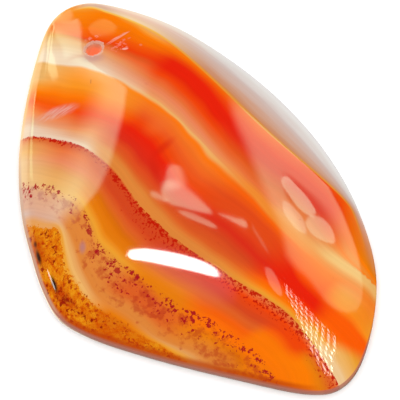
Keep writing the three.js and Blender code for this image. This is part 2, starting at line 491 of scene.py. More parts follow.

# %% [markdown]
# The same layer isn't the same colour all the way: it is milky by the drilled end, red through the
# middle and bright amber at the broad end. The bright colours at the broad end and its corner are
# partly a painted glow of light that comes through the stone. Each ramp gives the colours across
# the layers at one bearing from the growth centre, and takes over from the one before between two
# bearings in degrees.

# %% Ramps across the layers
FIRST_LAYER, LAST_LAYER = 0.0, 10.5
DRILLED_END = [
    (0, "rose"), (0.45, "shell"), (0.9, "rose"), (1.8, "rose"), (2.2, "cream"), (3.0, "cream"),
    (3.35, "straw"), (3.6, "wheat"), (3.93, "terracotta"), (3.99, "milk"), (4.6, "milk"),
    (5.1, "blush"), (5.4, "melon"), (5.7, "sunset"), (6.0, "blaze"), (6.2, "mango"), (6.4, "straw"),
    (6.95, "straw"), (7.05, "bone"), (7.4, "bone"), (7.9, "cream"), (8.4, "straw"), (8.9, "melon"),
    (9.3, "orange"), (9.55, "gold"), (9.85, "gold"),
]
SHOULDER = [
    (0, "wheat"), (0.4, "rose"), (1.6, "blush"), (2.2, "straw"), (2.8, "wheat"), (3.2, "salmon"),
    (3.6, "coral"), (3.93, "brick"), (3.99, "milk"), (4.4, "blush"), (4.9, "peach"), (5.2, "coral"),
    (5.55, "flame"), (5.8, "tangerine"), (6.0, "orange"), (6.35, "gold"), (6.95, "gold"),
    (7.05, "milk"), (7.6, "blush"), (8.0, "peach"), (8.3, "coral"), (8.5, "terracotta"), (8.7, "flame"),
    (9.05, "tangerine"), (9.3, "orange"), (9.75, "blaze"), (9.95, "mango"), (10.15, "straw"),
]
UPPER_MIDDLE = [
    (0, "honey"), (0.25, "straw"), (0.55, "wheat"), (0.8, "caramel"), (1.9, "caramel"), (2.3, "honey"),
    (2.6, "amber"), (3.0, "ochre"), (3.3, "terracotta"), (3.55, "brick"), (3.97, "brick"),
    (4.05, "caramel"), (4.5, "caramel"), (4.85, "terracotta"), (5.3, "crimson"), (5.7, "red"),
    (6.0, "flame"), (6.35, "paprika"), (6.75, "mandarin"), (6.92, "orange"), (7.03, "straw"),
    (7.2, "peach"), (7.6, "salmon"), (7.95, "coral"), (8.3, "flame"), (8.6, "red"), (9.0, "red"),
    (9.35, "flame"), (9.8, "orange"),
]
LOWER_MIDDLE = [
    (0, "ochre"), (0.3, "amber"), (0.8, "caramel"), (1.1, "caramel"), (1.4, "terracotta"),
    (1.8, "terracotta"), (2.1, "amber"), (2.6, "amber"), (3.1, "terracotta"), (3.5, "brick"),
    (3.95, "brick"), (4.05, "caramel"), (4.4, "caramel"), (4.8, "terracotta"), (5.2, "brick"),
    (5.5, "crimson"), (5.9, "vermilion"), (6.4, "vermilion"), (6.85, "tangerine"), (7.05, "apricot"),
    (7.4, "apricot"), (7.9, "coral"), (8.3, "terracotta"), (8.8, "crimson"), (9.3, "red"),
    (9.7, "flame"), (9.95, "tangerine"),
]
LOWER_END = [
    (0, "amber"), (0.3, "honey"), (0.7, "wheat"), (1.1, "caramel"), (1.6, "amber"), (1.9, "orange"),
    (2.5, "tangerine"), (2.9, "terracotta"), (3.2, "brick"), (3.7, "flame"), (3.95, "coral"),
    (4.2, "honey"), (4.6, "orange"), (5.0, "sunset"), (5.3, "scarlet"), (5.5, "red"), (6.0, "red"),
    (6.35, "sunset"), (6.9, "orange"), (7.25, "apricot"), (7.6, "straw"), (7.9, "straw"),
    (8.4, "apricot"), (8.9, "blaze"), (9.2, "apricot"), (9.5, "blaze"), (9.75, "amber"),
    (10, "caramel"),
]
BROAD_END = [
    (0, "wheat"), (1.0, "caramel"), (1.7, "ochre"), (2.0, "orange"), (2.8, "orange"),
    (3.05, "tangerine"), (3.3, "flame"), (3.7, "flame"), (3.93, "coral"), (4.0, "sand"), (4.5, "straw"),
    (4.9, "honey"), (5.15, "orange"), (5.5, "sunset"), (5.8, "sunset"), (6.05, "sunset"), (6.3, "gold"),
    (6.6, "honey"), (6.85, "sand"), (7.0, "wheat"), (7.8, "peach"), (10, "caramel"),
]
# The light cream and straw of the corner are partly a painted glow of light through the stone.
CORNER = [
    (0, "caramel"), (1.5, "amber"), (2.2, "orange"), (3.2, "blaze"), (3.5, "amber"),
    (3.8, "terracotta"), (3.97, "coral"), (4.04, "cream"), (4.7, "cream"), (5.1, "straw"),
    (5.6, "honey"), (6.0, "caramel"), (7.0, "peach"), (10, "caramel"),
]
TAKE_OVERS = [
    (SHOULDER, 51, 44), (UPPER_MIDDLE, 40, 33), (LOWER_MIDDLE, 23, 9), (LOWER_END, 4, -6),
    (BROAD_END, -11, -15), (CORNER, -17, -20),
]
print("stops", len(DRILLED_END), [len(stops) for stops, _, _ in TAKE_OVERS])

# %% [markdown]
# One small function adds a node, sets its properties and fills its inputs in the order in which the
# node shows them. A material is then a list of such calls that reads from top to bottom like a
# recipe, which dragging nodes about in the editor would not give.

# %% Node helper
agate = bpy.data.materials.new("polished_chalcedony")
agate.use_nodes = True
tree = agate.node_tree
tree.nodes.clear()


def node(kind, *inputs, stops=(), **settings):
    """Adds a node. settings are its properties and stops the (position, colour) pairs of a colour
    ramp. inputs fill its shown sockets in order: a node or socket is linked, a number, colour or
    vector is set and None is skipped. A colour may be a hex value."""
    made = tree.nodes.new("ShaderNode" + kind)
    for name, value in settings.items():
        setattr(made, name, value)
    shown = [socket for socket in made.inputs if socket.enabled]
    for socket, value in zip(shown, inputs):
        if isinstance(value, bpy.types.Node):
            value = next(out for out in value.outputs if out.enabled)
        if isinstance(value, bpy.types.NodeSocket):
            tree.links.new(value, socket)
        elif value is not None:
            socket.default_value = linear(value) if isinstance(value, str) else value
    for _ in stops[2:]:
        made.color_ramp.elements.new(1.0)
    for element, (position, colour) in zip(made.color_ramp.elements if stops else (), stops):
        element.position = position
        element.color = linear(colour) if isinstance(colour, str) else colour
    return made


print("material", agate.name)

# %% [markdown]
# The layer number is stretched to the 0 to 1 of a colour ramp. The ramps are blended one after the
# other, each taking over from the last one at a bearing. Positions are read in millimetres, so that
# every size below is a real one.

# %% Blend the ramps along the layers
millimetres = node("Mapping", node("TexCoord").outputs["Object"], None, None, (1 / MM, 1 / MM, 1 / MM))
layer_here, bearing_here = (
    node("Attribute", attribute_name=name).outputs["Fac"] for name in ("layer", "bearing")
)
ramp_place = node("MapRange", layer_here, FIRST_LAYER, LAST_LAYER)


def layer_ramp(stops):
    """A ramp across the layers. Its stops give a layer and a palette name, or a grey share."""
    placed = [
        ((at - FIRST_LAYER) / (LAST_LAYER - FIRST_LAYER),
         PALETTE[value] if isinstance(value, str) else (value, value, value, 1.0))
        for at, value in stops
    ]
    return node("ValToRGB", ramp_place, stops=placed)


face = layer_ramp(DRILLED_END)
for stops, start, end in TAKE_OVERS:
    share = node("MapRange", bearing_here, start, end, interpolation_type="SMOOTHSTEP")
    face = node("Mix", share, face, layer_ramp(stops), data_type="RGBA")
print("nodes for the layers", len(tree.nodes))

# %% [markdown]
# Each layer is built of hair-thin growth lines. They are stretched noise that only lightens and
# darkens the colour a little. A layer is 3 to 4 mm wide and takes seven of them, about half a
# millimetre each, and they are some 6 to 16 mm long. Most of the real ones are thinner than a pixel,
# so these are drawn coarser.

# %% Growth lines
LINES_IN_LAYER = 7.0
LINES_IN_DEGREE = 0.06
along_layers = node("CombineXYZ", node("Math", layer_here, LINES_IN_LAYER, operation="MULTIPLY"),
                    node("Math", bearing_here, LINES_IN_DEGREE, operation="MULTIPLY"))
growth_lines = node("TexNoise", along_layers, 1.0, 3.0, 0.6)
line_tone = node("MapRange", growth_lines, 0.3, 0.7, 0.96, 1.04)
face = node("Mix", 1.0, face, line_tone, data_type="RGBA", blend_type="MULTIPLY")
print("nodes with growth lines", len(tree.nodes))

# %% [markdown]
# Iron oxide also settled as grains along some of the layer edges, like soot on a tide line. Fine
# noise cut at a threshold gives grains of an uneven size and shape. Raising the noise where a belt
# lies crowds them there, and leaves none outside it. There are fine grains, clumps about twice
# their size and, nearest the crust, soft blotches of a millimetre. The real grains go down to a
# tenth of a millimetre, less than a pixel, so the finest here are drawn three times as coarse.

# %% Grains in belts
def grains(size_mm, crowd, least, most, seed):
    """Share of grain: noise with hills size_mm apart, raised by 0.3 where the crowd is 1, rising
    from none at least to full at most."""
    noise = node("TexNoise", millimetres, seed, 1 / size_mm, 3.0, 0.6, noise_dimensions="4D")
    raised = node("Math", crowd, 0.3, noise, operation="MULTIPLY_ADD")
    return node("MapRange", raised, least, most, interpolation_type="SMOOTHSTEP")


def clusters(size_mm, crowd, seed):
    """The crowd times 1.12 within clusters that are size_mm apart and times 0.72 between them."""
    noise = node("TexNoise", millimetres, seed, 1 / size_mm, 1.0, 0.5, noise_dimensions="4D")
    share = node("MapRange", noise, 0.38, 0.58, 0.72, 1.12)
    return node("Math", crowd, share, operation="MULTIPLY")


def tinted(share, strength, colour):
    """The face with a colour laid over it by a share of up to the strength."""
    upto = node("Math", share, strength, operation="MULTIPLY")
    return node("Mix", upto, face, colour, data_type="RGBA")


deep_belt = layer_ramp([(0.4, 0.0), (0.8, 0.5), (1.3, 0.75), (1.9, 0.8), (2.15, 0.0)])
deep_share = grains(1.0, clusters(2.6, deep_belt, 3.0), 0.68, 0.86, 11.0)
toward_drilled_end = node("MapRange", bearing_here, 30, 46)
deep_colour = node("Mix", toward_drilled_end, "#B42A18", "#BC786C", data_type="RGBA")
face = tinted(deep_share, 0.55, deep_colour)
lower_belt = layer_ramp([(1.15, 0.0), (1.4, 0.6), (1.8, 0.76), (2.02, 0.9), (2.2, 0.96), (2.26, 0.0)])
face = tinted(grains(0.4, clusters(1.5, lower_belt, 5.0), 0.80, 0.835, 17.0), 0.95, "#A80C1C")
clump_belt = layer_ramp([(1.5, 0.0), (1.8, 0.6), (2.1, 0.8), (2.2, 0.0)])
face = tinted(grains(0.8, clusters(2.2, clump_belt, 7.0), 0.79, 0.83, 19.0), 0.85, "#A8141E")
thin_line = layer_ramp([(3.66, 0.0), (3.8, 0.7), (3.9, 1.1), (3.97, 1.2), (4.01, 0.0)])
broad_line = layer_ramp([(3.2, 0.0), (3.5, 0.62), (3.8, 0.86), (3.95, 1.05), (4.06, 1.15), (4.1, 0.0)])
right_of_hole = node("MapRange", bearing_here, 38, 22)
upper_belt = node("Mix", right_of_hole, thin_line, broad_line, data_type="RGBA")
face = tinted(grains(0.32, upper_belt, 0.78, 0.84, 23.0), 0.95, "#C01604")
print("nodes with grains", len(tree.nodes))

# %% [markdown]
# The innermost layer is a crust of ochre. Its edge crumbles into the pale layer above it, so the
# layer number is shaken by fine noise before it is cut. Inside, the crust is mottled, redder along
# one stretch, and peppered with dark red grains and with clots twice their size.

# %% Ochre crust
crumble = node("TexNoise", millimetres, 31.0, 1 / 0.5, 3.0, 0.7, noise_dimensions="4D")
shifted_layer = node("Math", layer_here, node("MapRange", bearing_here, 24, 36, 0.0, 0.35), operation="ADD")
shaken_layer = node("Math", crumble, 1.3, shifted_layer, operation="MULTIPLY_ADD")
crust_share = node("Math", node("MapRange", shaken_layer, 0.80, 0.70, interpolation_type="SMOOTHSTEP"),
                   node("MapRange", bearing_here, 50, 46), operation="MULTIPLY")
mottle = node("TexNoise", millimetres, 37.0, 1 / 1.1, 6.0, 0.85, noise_dimensions="4D")
crust = node("ValToRGB", mottle, stops=[
    (0.34, "#B83404"), (0.41, "#D05A04"), (0.49, "#E0780A"), (0.58, "#EA9616")])
redder = node("Math", node("MapRange", bearing_here, 17, 11, 0.0, 0.5), node("MapRange", bearing_here, -4, 4),
              operation="MULTIPLY")
crust = node("Mix", redder, crust, "#CA4404", data_type="RGBA")
face = node("Mix", crust_share, face, crust, data_type="RGBA")
pepper = node("Math", grains(0.4, 0.0, 0.56, 0.61, 41.0), crust_share, operation="MULTIPLY")
face = tinted(pepper, 0.75, "#B02008")
clots = node("Math", grains(0.8, 0.0, 0.60, 0.64, 43.0), crust_share, operation="MULTIPLY")
face = tinted(clots, 0.9, "#8C0C08")
print("nodes with the crust", len(tree.nodes))

# %% [markdown]
# Some marks lie in the stone one by one: a healed feather crack, scratches beside the hole as from
# a slip of the drill and dark stains by the rim. A soft painted shadow lies under the hole, where
# the bore shows through the stone. Each is an oval with a soft edge, plain or filled with fibres or
# dots.

# %% Single marks
def oval(centre, half_size, turn=0.0, softness=1.0):
    """Share of an oval mark with its centre and half sizes in mm, turned by degrees: 0 at its edge,
    rising to 1 over softness times the way to its centre."""
    local = node("Mapping", millimetres, (*centre, 0.0), (0.0, 0.0, np.radians(turn)), (*half_size, 1000.0),
                 vector_type="TEXTURE")
    depth = node("TexGradient", local, gradient_type="SPHERICAL").outputs["Fac"]
    return node("MapRange", depth, 0.0, softness, interpolation_type="SMOOTHSTEP")


fibres = node("TexNoise", node("Mapping", millimetres, None, (0.0, 0.0, np.radians(20.0)), (0.4, 4.0, 1.0)),
              1.4, 2.0, 0.5)
TEXTURES = {
    "fibres": node("MapRange", fibres, 0.36, 0.60),
    "dots": grains(0.42, 0.0, 0.50, 0.60, 53.0),
}
MARKS = [
    ("orange cloud", (2.6, 7.6), (2.6, 1.8), 0.0, 0.9, 0.45, "#F2702C"),
    ("red curl", (1.4, 4.7), (2.6, 0.8), 12.0, 0.9, 0.6, "#D8220C"),
    ("end of the red curl", (-0.9, 2.9), (2.4, 0.9), 75.0, 0.9, 0.45, "#D0200E"),
    # A painted shadow: the shade of the bore, seen through the stone under the hole.
    ("painted shadow under the hole", (1.1, 20.7), (2.0, 1.1), -37.0, 0.8, 0.55, "#C08C8C"),
    ("feather crack", (-6.3, 16.7), (3.2, 1.0), -22.0, 0.9, 0.35, "#C8A09C"),
    ("feather fibres", (-6.3, 16.7), (3.2, 1.1), -22.0, 0.7, 0.45, "#ECC4B4", "fibres"),
    ("drill slip", (5.3, 21.7), (2.3, 0.26), 9.0, 0.4, 0.7, "#F8B09C", "fibres"),
    ("lower drill slip", (5.3, 21.0), (1.9, 0.2), -4.0, 0.4, 0.6, "#F48C74", "dots"),
    ("chips right of the hole", (4.6, 20.4), (1.4, 1.1), -30.0, 0.4, 0.7, "#FA8C74", "dots"),
    ("chips above the hole", (2.7, 23.5), (1.3, 0.4), -10.0, 0.4, 0.7, "#F89078", "dots"),
    ("chip", (5.1, 19.6), (0.5, 0.22), -20.0, 0.5, 0.85, "#F8B0A0"),
    ("dot", (7.1, 19.2), (0.25, 0.25), 0.0, 0.6, 0.6, "#F08A60"),
    ("dark dash", (-0.9, 17.7), (0.5, 0.1), 57.0, 0.6, 0.6, "#B06030"),
    ("violet cloud", (-13.0, -0.5), (1.1, 0.6), 60.0, 0.9, 0.6, "#A87888"),
    ("grains at the edge", (-14.4, 10.4), (0.8, 1.3), 0.0, 0.4, 0.95, "#B01020", "dots"),
    ("grains near the edge", (-12.3, 8.3), (1.0, 0.8), 0.0, 0.5, 0.8, "#A8403C", "dots"),
    ("upper rim glow", (-17.2, 3.2), (3.4, 1.2), 75.0, 0.8, 0.65, "#BC2C04"),
    ("rim glow", (-17.7, -3.9), (2.8, 0.9), 102.0, 0.7, 0.6, "#B82804"),
    ("rim clots", (-17.6, -3.9), (2.6, 0.8), 102.0, 0.4, 0.8, "#8C1408", "dots"),
    ("upper stain", (-17.0, 4.0), (0.6, 0.3), 75.0, 0.8, 0.85, "#4A1004"),
    ("middle stain", (-17.5, 2.4), (1.5, 0.36), 75.0, 0.8, 0.95, "#200A06"),
    ("lower stain", (-17.8, -1.8), (1.6, 0.38), 78.0, 0.8, 0.95, "#201010"),
]
for _, centre, half_size, turn, softness, strength, colour, *texture in MARKS:
    share = oval(centre, half_size, turn, softness)
    if texture:
        share = node("Math", share, TEXTURES[texture[0]], operation="MULTIPLY")
    face = tinted(share, strength, colour)
print("marks", len(MARKS))

# %% [markdown]
# The bevel cuts the outer layers at a slant, so it shows them as stripes along its length: pearl
# grey outside, then shell pink, tan and one thin yellow line on the ridge. The pale pearl and shell
# are partly a painted reflection of a white backdrop, and the yellow line is partly a painted
# highlight on the ridge. Near the drilled end they are warmer, so two ramps are blended down the
# bevel. Noise stretched along the edge, 0.8 mm across at the widest and 11 mm along, draws the
# stripes out into streaks.

# %% Bevel
STREAKS_ACROSS_BEVEL = 7.0
STREAKS_IN_MM = 0.09
STREAK_SHIFT = 0.3
in_flank, along, bevel_here, past_ridge = (
    node("Attribute", attribute_name=name).outputs["Fac"]
    for name in ("in_flank", "along", "bevel", "past_ridge")
)
streak_place = node("CombineXYZ", node("Math", in_flank, STREAKS_ACROSS_BEVEL, operation="MULTIPLY"),
                    node("Math", along, STREAKS_IN_MM, operation="MULTIPLY"))
streaks = node("TexNoise", streak_place, 1.0, 3.0, 0.6)
stripe_place = node("Math", node("Math", streaks, 0.5, operation="SUBTRACT"), STREAK_SHIFT, in_flank,
                    operation="MULTIPLY_ADD")
# The pale colours of these stripes are partly a painted reflection of a white backdrop.
upper_stripes_with_sheen = node("ValToRGB", stripe_place, stops=[
    (0.0, "#EADCD0"), (0.2, "#EED0B8"), (0.42, "#E6B8A2"), (0.62, "#E2BA98"),
    (0.85, "#EECEA0"), (0.97, "#F6C880")])
lower_stripes_with_sheen = node("ValToRGB", stripe_place, stops=[
    (0.0, "#F0ECEA"), (0.16, PALETTE["pearl"]), (0.28, "#E2D6D0"),
    (0.38, PALETTE["shell"]), (0.6, "#D6B2A2"), (0.78, "#D49E80"),
    (0.9, PALETTE["tan"]), (0.97, "#D88C4C")])
down_bevel = node("MapRange", along, 9.0, 22.0)
stripes = node("Mix", down_bevel, upper_stripes_with_sheen, lower_stripes_with_sheen, data_type="RGBA")
stripe_share = node("Math", bevel_here, node("MapRange", in_flank, 1.0, 0.97), operation="MULTIPLY")
body = node("Mix", stripe_share, face, stripes, data_type="RGBA")
# The thin yellow line on the ridge is partly a layer's colour and partly a painted highlight.
below_line = node("MapRange", past_ridge, -0.35, -0.15)
above_line = node("MapRange", past_ridge, 0.16, 0.02)
ridge_line_and_highlight = node("Math", below_line, above_line, operation="MULTIPLY")
ridge_share = node("Math", bevel_here, ridge_line_and_highlight, operation="MULTIPLY")
ridge_colour_and_highlight = node("Mix", down_bevel, "#FFC24C", "#E89A3C", data_type="RGBA")
ridge_strength = node("Math", ridge_share, 0.85, operation="MULTIPLY")
body = node("Mix", ridge_strength, body, ridge_colour_and_highlight, data_type="RGBA")
print("nodes with the bevel", len(tree.nodes))

# %% [markdown]
# Past the end of the bevel the same pale layers run on as a thin peach rim. Along the lower edge the
# stone darkens in two steps, to brick red and then to brown. The left edge is greyish pink and the
# drilled end has a warm pale rim, a painted highlight that lightens it where it mirrors the dark
# room. The upright edge under the lower and left edges is mauve, and grows pale towards the back, a
# painted reflection of the pale floor.

# %% Rim and upright edge
inset_here = node("Attribute", attribute_name="inset").outputs["Fac"]


def along_edge(stretch, inner_mm, outer_mm, strength, colour):
    """The body with a colour laid along a stretch of the outline, rising from nothing at the inner
    distance from it to the strength at the outer."""
    depth = node("MapRange", inset_here, inner_mm, outer_mm, 0.0, strength, interpolation_type="SMOOTHSTEP")
    here = node("Attribute", attribute_name=stretch).outputs["Fac"]
    share = node("Math", here, depth, operation="MULTIPLY")
    return node("Mix", share, body, colour, data_type="RGBA")


body = along_edge("right_end", 0.8, 0.2, 0.6, "#DC9868")
body = along_edge("lower_edge", 0.75, 0.35, 0.75, "#BC400C")
body = along_edge("lower_edge", 0.28, 0.10, 0.8, "#B0684E")
body = along_edge("left_edge", 0.5, 0.2, 0.8, "#C8A08C")
# The warm pale rim of the drilled end is a painted highlight.
body = along_edge("drilled_end", 0.6, 0.2, 0.65, "#FFC478")
height = node("SeparateXYZ", millimetres).outputs["Z"]
# The upright edge grows pale towards the back: a painted reflection of the pale floor.
edge_colour_and_floor_reflection = node("ValToRGB", node("MapRange", height, 0.0, 2.0), stops=[
    (0.0, "#E4D6C8"), (0.25, "#BC9A8E"), (0.6, "#B47A6C"), (0.85, "#BA6A58")])
girdle_here = node("Attribute", attribute_name="girdle").outputs["Fac"]
edge_share = node("Math", girdle_here, 0.85, operation="MULTIPLY")
body = node("Mix", edge_share, body, edge_colour_and_floor_reflection, data_type="RGBA")
print("nodes with the rim", len(tree.nodes))

# %% [markdown]
# The drill leaves a frosted pink rim where it chipped the mouth. The wall of the hole glows coral,
# because light reaches it through the stone. Towards the mouth the wall turns to a painted shade of
# greyish brown. A dark tunnel would look like a hole in wood, so the wall gives off a little light
# of its own in that colour, less near the mouth.

# %% Hole
bore_here, rim_here = (
    node("Attribute", attribute_name=name).outputs["Fac"] for name in ("bore", "mouth_rim")
)
rim_share = node("Math", rim_here, 0.7, operation="MULTIPLY")
# Painted shade: the wall turns greyish brown towards the mouth.
wall_colour_and_shade = node("ValToRGB", node("MapRange", height, 2.0, 4.6), stops=[
    (0.0, "#FA8C58"), (0.5, "#F08458"), (0.8, "#C88C70"), (1.0, "#B8907C")])
body = node("Mix", bore_here, body, wall_colour_and_shade, data_type="RGBA")
body = node("Mix", rim_share, body, "#F0C4B2", data_type="RGBA")
wall_glow = node("MapRange", height, 4.4, 3.0, 0.35, 1.0)
glow_share = node("Math", bore_here, wall_glow, operation="MULTIPLY")
# The glow is light and not paint, so it is given as linear values.
no_glow, coral_glow = (0.0, 0.0, 0.0, 1.0), (0.38, 0.13, 0.06, 1.0)
bore_glow = node("Mix", glow_share, no_glow, coral_glow, data_type="RGBA")
print("nodes with the hole", len(tree.nodes))

# %% [markdown]
# Polished chalcedony is a clear mineral with an index of refraction of 1.54 and a surface as smooth
# as glass. The slight roughness softens the mirrored panels by about a pixel, as hand polishing does.

# %% Polished surface
shader = node("BsdfPrincipled", body)
tree.links.new(bore_glow.outputs[2], shader.inputs["Emission Color"])
for name, value in (("Emission Strength", 1.0), ("Roughness", 0.05), ("IOR", 1.54)):
    shader.inputs[name].default_value = value
node("OutputMaterial", shader)
stone_mesh.materials.append(agate)
print("nodes", len(tree.nodes))

# %% [markdown]
# The floor is a plain pale sheet and the light a soft white all round. Both are hidden from mirror
# rays, because the polished front would otherwise mirror white everywhere and look dusty: in the
# studio it mirrors a dark room in which a few bright panels hang. A broad lamp adds a little light
# from above.

# %% Floor and soft light
FLOOR_HALF_MM = 1500.0
OVERHEAD_SIZE_MM = 600.0
OVERHEAD_PLACE_MM = np.array([-150.0, 100.0, 500.0])
OVERHEAD_WATTS = 0.35
sheet = bpy.data.materials.new("white_sheet")
sheet.use_nodes = True
sheet_shader = sheet.node_tree.nodes["Principled BSDF"]
for name, value in (
    ("Base Color", (0.96, 0.96, 0.96, 1.0)), ("Roughness", 0.9), ("Specular IOR Level", 0.0),
):
    sheet_shader.inputs[name].default_value = value
floor_mesh = bpy.data.meshes.new("floor")
floor_corners = FLOOR_HALF_MM * MM * np.array([[-1, -1, 0], [1, -1, 0], [1, 1, 0], [-1, 1, 0]])
floor_mesh.from_pydata(floor_corners.tolist(), [], [(0, 1, 2, 3)])
floor_mesh.materials.append(sheet)
floor = bpy.data.objects.new("floor", floor_mesh)
floor.visible_glossy = False
bpy.context.scene.collection.objects.link(floor)

world = bpy.data.worlds.new("studio")
world.use_nodes = True
background = world.node_tree.nodes["Background"]
background.inputs["Color"].default_value = (1.0, 1.0, 1.0, 1.0)
background.inputs["Strength"].default_value = LIGHT_LEVEL
bpy.context.scene.world = world
world.cycles_visibility.glossy = False
bpy.context.scene.view_settings.view_transform = "Standard"

lamp_data = bpy.data.lights.new("overhead", "AREA")
lamp_data.size = OVERHEAD_SIZE_MM * MM
lamp_data.energy = OVERHEAD_WATTS
lamp = bpy.data.objects.new("overhead", lamp_data)
lamp.location = OVERHEAD_PLACE_MM * MM
lamp.visible_glossy = False
bpy.context.scene.collection.objects.link(lamp)
print("floor in mm", 2 * FLOOR_HALF_MM, "lamp in mm", OVERHEAD_SIZE_MM)

# %% [markdown]
# The bright shapes on the stone are panels and windows mirrored in its front. Each is a glowing
# panel on a large dome round the stone, hung between two sides whose points are lean angles: degrees
# from straight up, towards +X and towards +Y. A panel lets through what hangs behind it, so that
# panels add up, and its glow fades towards its sides, as a window's does behind a blind. A picture
# of a room as the world would be simpler, but its shapes couldn't be placed one by one.

# %% Panel material
panel_glow = bpy.data.materials.new("hanging_panel")
panel_glow.use_nodes = True
panel_glow.cycles.emission_sampling = "NONE"
# From here on node() adds to this tree.
tree = panel_glow.node_tree
tree.nodes.clear()
glow_colour = node("Attribute", attribute_name="glow").outputs["Color"]
clearness = node("Attribute", attribute_name="clear").outputs["Fac"]
glowing, see_through = node("Emission", glow_colour, 1.0), node("BsdfTransparent", clearness)
node("OutputMaterial", node("AddShader", glowing, see_through))
print("panel nodes", len(tree.nodes))

# %% [markdown]
# A panel's rows and columns stand closer at its ends and sides, where the glow changes. Panels are
# seen only by mirror rays, so they add nothing to the soft light on the floor.

# %% Hang a panel
WINDOW_TINT = np.array([0.5, 1.0, 0.72])
LAMP_TINT = np.array([1.0, 1.0, 0.97])
PANEL_ROWS = 49
PANEL_COLUMNS = 17


def on_dome(lean, distance_mm):
    """The point of the dome that leans from straight up by the length of the angle pair, in the
    pair's own direction."""
    lean = np.radians(lean)
    angle = np.hypot(lean[..., 0], lean[..., 1])[..., None]
    level = lean / np.maximum(angle, 1e-9) * np.sin(angle)
    return distance_mm * MM * np.concatenate([level, np.cos(angle)], -1)


def add_panel_object(name, corners_of_faces, places, glow, clear):
    """Puts the places and quads into a mesh that only mirror rays see, with its glow and clearness."""
    mesh = bpy.data.meshes.new("panel_" + name)
    mesh.from_pydata(places.reshape(-1, 3).tolist(), [], corners_of_faces.tolist())
    for kind, stored, field, values in (
        ("FLOAT_COLOR", "glow", "color", glow), ("FLOAT", "clear", "value", clear),
    ):
        attribute = mesh.attributes.new(stored, kind, "POINT")
        attribute.data.foreach_set(field, values.astype(np.float32).ravel())
    mesh.materials.append(panel_glow)
    panel = bpy.data.objects.new("panel_" + name, mesh)
    bpy.context.scene.collection.objects.link(panel)
    panel.visible_camera = False
    panel.visible_diffuse = False
    panel.visible_shadow = False


def close_at_ends(count):
    """Numbers from 0 to 1 that stand closer at both ends, half a cosine wave."""
    return 0.5 - 0.5 * np.cos(np.linspace(0.0, np.pi, count))


def down_the_rows(values):
    """One value, or several spaced evenly from the first row to the last, as a column."""
    values = np.atleast_1d(np.array(values, float))
    return np.interp(close_at_ends(PANEL_ROWS), np.linspace(0.0, 1.0, len(values)), values)[:, None]


def curve_through(points, share):
    """Places at shares of the way along a smooth curve that passes its points at even steps."""
    steps = np.arange(len(points), dtype=float)
    sides = [smooth_through(steps, angles, share * steps[-1]) for angles in np.array(points, float).T]
    return np.stack(sides, -1)


def fade(share, at_start, at_end):
    """1 in the middle, falling to 0 over a share of the way at each end."""
    return smooth_step(share, 0.0, at_start + 1e-6) * (1 - smooth_step(share, 1 - at_end - 1e-6, 1.0))


def hang_panel(name, one_side, other_side, glow, soft_sides=(0.1, 0.1), soft_ends=(0.1, 0.1),
               tint=WINDOW_TINT, last_tint=None, clear=1.0, distance_mm=4000.0):
    """Rows run along both sides on smooth curves through their points, columns straight across.
    glow and soft_sides give the one side and the other, each as one value or several down the rows.
    The tint turns to the last tint along the rows. clear is how much shows through from behind."""
    down, across = close_at_ends(PANEL_ROWS), close_at_ends(PANEL_COLUMNS)
    one, other = (curve_through(side, down)[:, None] for side in (one_side, other_side))
    share = across[None, :, None]
    lean = one * (1 - share) + other * share
    strength = fade(across[None], *(down_the_rows(soft) for soft in soft_sides))
    strength = strength * fade(down, *soft_ends)[:, None]
    level = down_the_rows(glow[0]) * (1 - across[None]) + down_the_rows(glow[1]) * across[None]
    turn = down[:, None, None] * (0.0 if last_tint is None else last_tint - tint)
    rgba = np.concatenate([(strength * level)[..., None] * (tint + turn), np.ones((*strength.shape, 1))], -1)
    quads = grid_quads(PANEL_ROWS, PANEL_COLUMNS, closed=False)
    add_panel_object(name, quads, on_dome(lean, distance_mm), rgba, 1 - (1 - clear) * strength)


print("quads in a panel", (PANEL_ROWS - 1) * (PANEL_COLUMNS - 1))

# %% [markdown]
# The strip lamp is the brightest shape and hangs nearly overhead. A faint violet haze lies round it,
# as bright light scatters in the stone's fine fibres.

# %% Strip lamp
hang_panel(
    "strip",
    [(-15.8, 10.3), (-13.2, 11.4), (-10.0, 11.0), (-6.5, 9.6), (-3, 8.2), (-0.3, 5.9), (-0.2, 3.6),
     (-1.6, 1.6)],
    [(-16.2, 9.8), (-15.8, 8.2), (-12.8, 6.3), (-10.3, 4.9), (-7.4, 3.4), (-5, 2), (-3.5, 0.9),
     (-2.4, 0.9)],
    glow=(26.0, 26.0), soft_sides=(0.03, 0.03), soft_ends=(0.01, 0.01), tint=LAMP_TINT,
)
hang_panel(
    "strip_haze",
    [(-17.5, 14), (-8.5, 12.5), (-1, 11), (3, 7.5), (3, 2), (-2, -5.5)],
    [(-21.5, 7.5), (-19, 2), (-19.5, -5), (-19.5, -12), (-14.5, -13.5), (-7.5, -10.5)],
    glow=(1.0, 1.0), soft_sides=(0.45, 0.55), soft_ends=(0.3, 0.3), tint=np.array([0.3, 0.35, 1.0]),
    distance_mm=400.0,
)
print("strip lamp hung")

# %% [markdown]
# Two tall windows stand left and right. The left one is bright at its right side and fades to the
# left. An arch runs on from it towards the drilled end, down to below the horizon.

